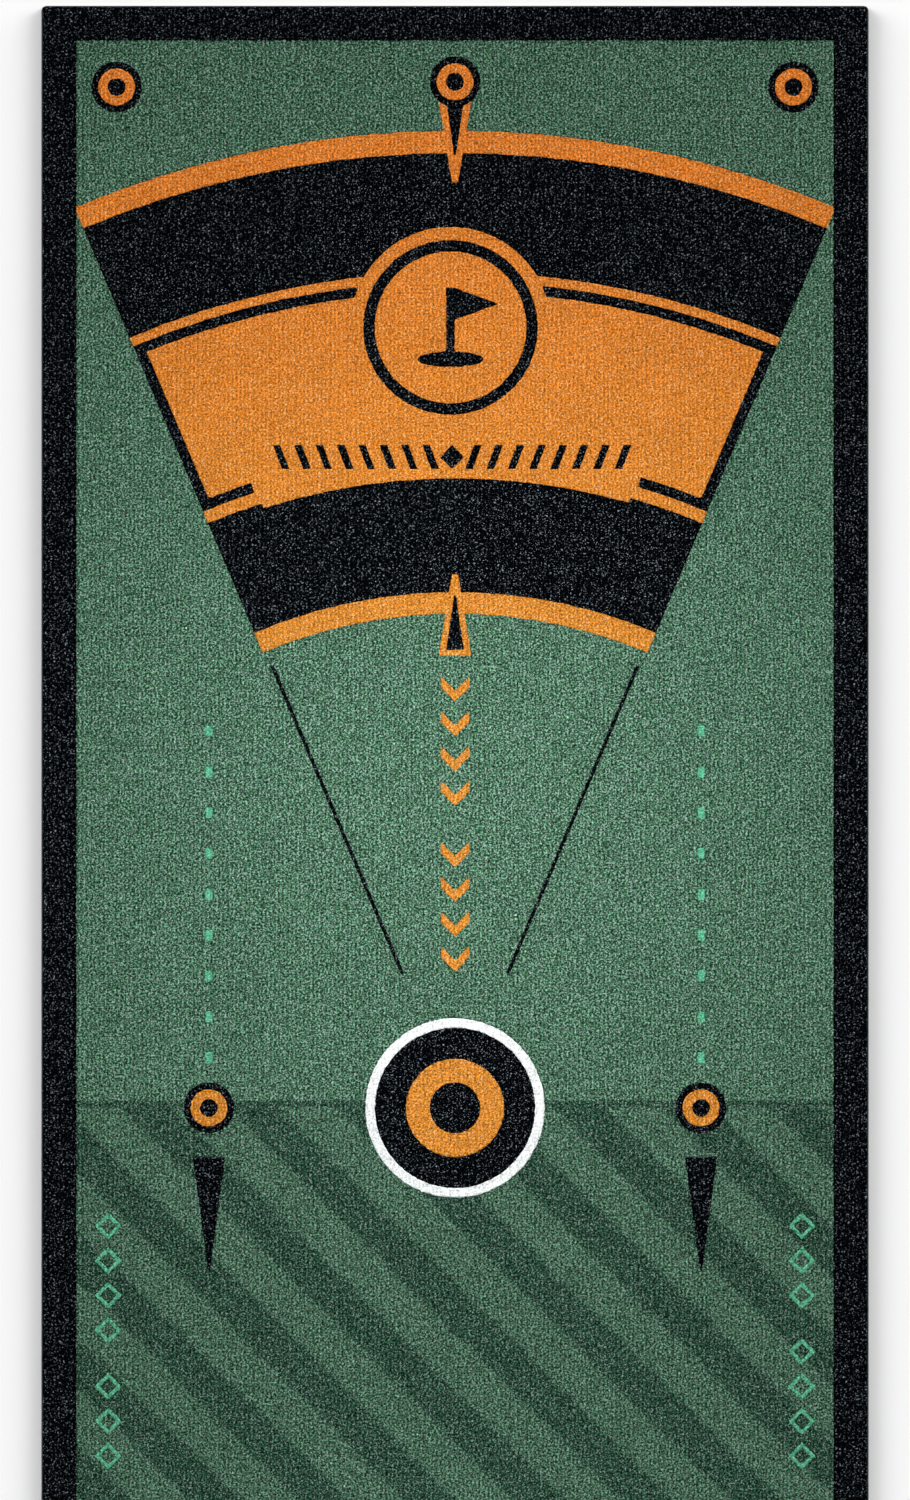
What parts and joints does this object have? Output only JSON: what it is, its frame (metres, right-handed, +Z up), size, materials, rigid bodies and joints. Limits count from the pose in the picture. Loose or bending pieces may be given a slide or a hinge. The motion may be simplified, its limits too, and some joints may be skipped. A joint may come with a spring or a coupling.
{
  "type": "practice putting mat",
  "caption": "Long flat practice putting mat: dyed cut pile on a carrier cloth and rubber backing, with a black border, an aiming fan, a flat round target and a plain lane.",
  "frame": {"origin": "the middle of the mat's underside, on the floor", "axes": "+Z up out of the pile, +Y along the mat from the start to the target end, +X to the right of a player who looks along +Y"},
  "size_m": [0.5, 3, 0.007],
  "materials": {
    "nitrile_rubber": "matte, fine cross-ribbed grip underneath",
    "carrier_cloth": "flat non-woven cloth",
    "green_pile": "short dense cut pile, matte",
    "shade_green_pile": "short dense cut pile, matte",
    "orange_pile": "short dense cut pile, matte",
    "black_pile": "short dense cut pile, matte",
    "white_pile": "short dense cut pile, matte",
    "mint_pile": "short dense cut pile, matte"
  },
  "bodies": {
    "root": {"rubber_backing": "nitrile_rubber", "tuft_carrier": "carrier_cloth", "field_head": "green_pile", "field_target": "green_pile", "field_striped": "green_pile", "lane_section_1": "green_pile", "lane_section_2": "green_pile", "lane_section_3": "green_pile", "start_field": "green_pile", "distance_line_1": "shade_green_pile", "distance_line_2": "shade_green_pile", "distance_line_3": "shade_green_pile", "fan_outer_arc": "orange_pile", "fan_panel": "orange_pile", "fan_inner_arc": "orange_pile", "disc_face": "orange_pile", "target_band": "orange_pile", "left_corner_marker_band": "orange_pile", "right_corner_marker_band": "orange_pile", "left_marker_band": "orange_pile", "right_marker_band": "orange_pile", "head_marker_band": "orange_pile", "start_marker_band": "orange_pile", "border_left": "black_pile", "border_right": "black_pile", "border_head": "black_pile", "border_foot": "black_pile", "fan_upper_band": "black_pile", "fan_lower_band": "black_pile", "fan_frame_left": "black_pile", "fan_frame_right": "black_pile", "fan_needle_core": "black_pile", "disc_ring": "black_pile", "disc_flag": "black_pile", "target_cup": "black_pile", "target_eye": "black_pile", "guide_line_left": "black_pile", "guide_line_right": "black_pile", "left_wedge": "black_pile", "right_wedge": "black_pile", "left_corner_marker_halo": "black_pile", "left_corner_marker_dot": "black_pile", "right_corner_marker_halo": "black_pile", "right_corner_marker_dot": "black_pile", "left_marker_halo": "black_pile", "left_marker_dot": "black_pile", "right_marker_halo": "black_pile", "right_marker_dot": "black_pile", "head_marker_halo": "black_pile", "head_marker_dot": "black_pile", "start_marker_halo": "black_pile", "start_marker_dot": "black_pile", "target_rim": "white_pile", "start_line": "white_pile", "left_start_spot": "mint_pile", "right_start_spot": "mint_pile"}
  },
  "joints": []
}
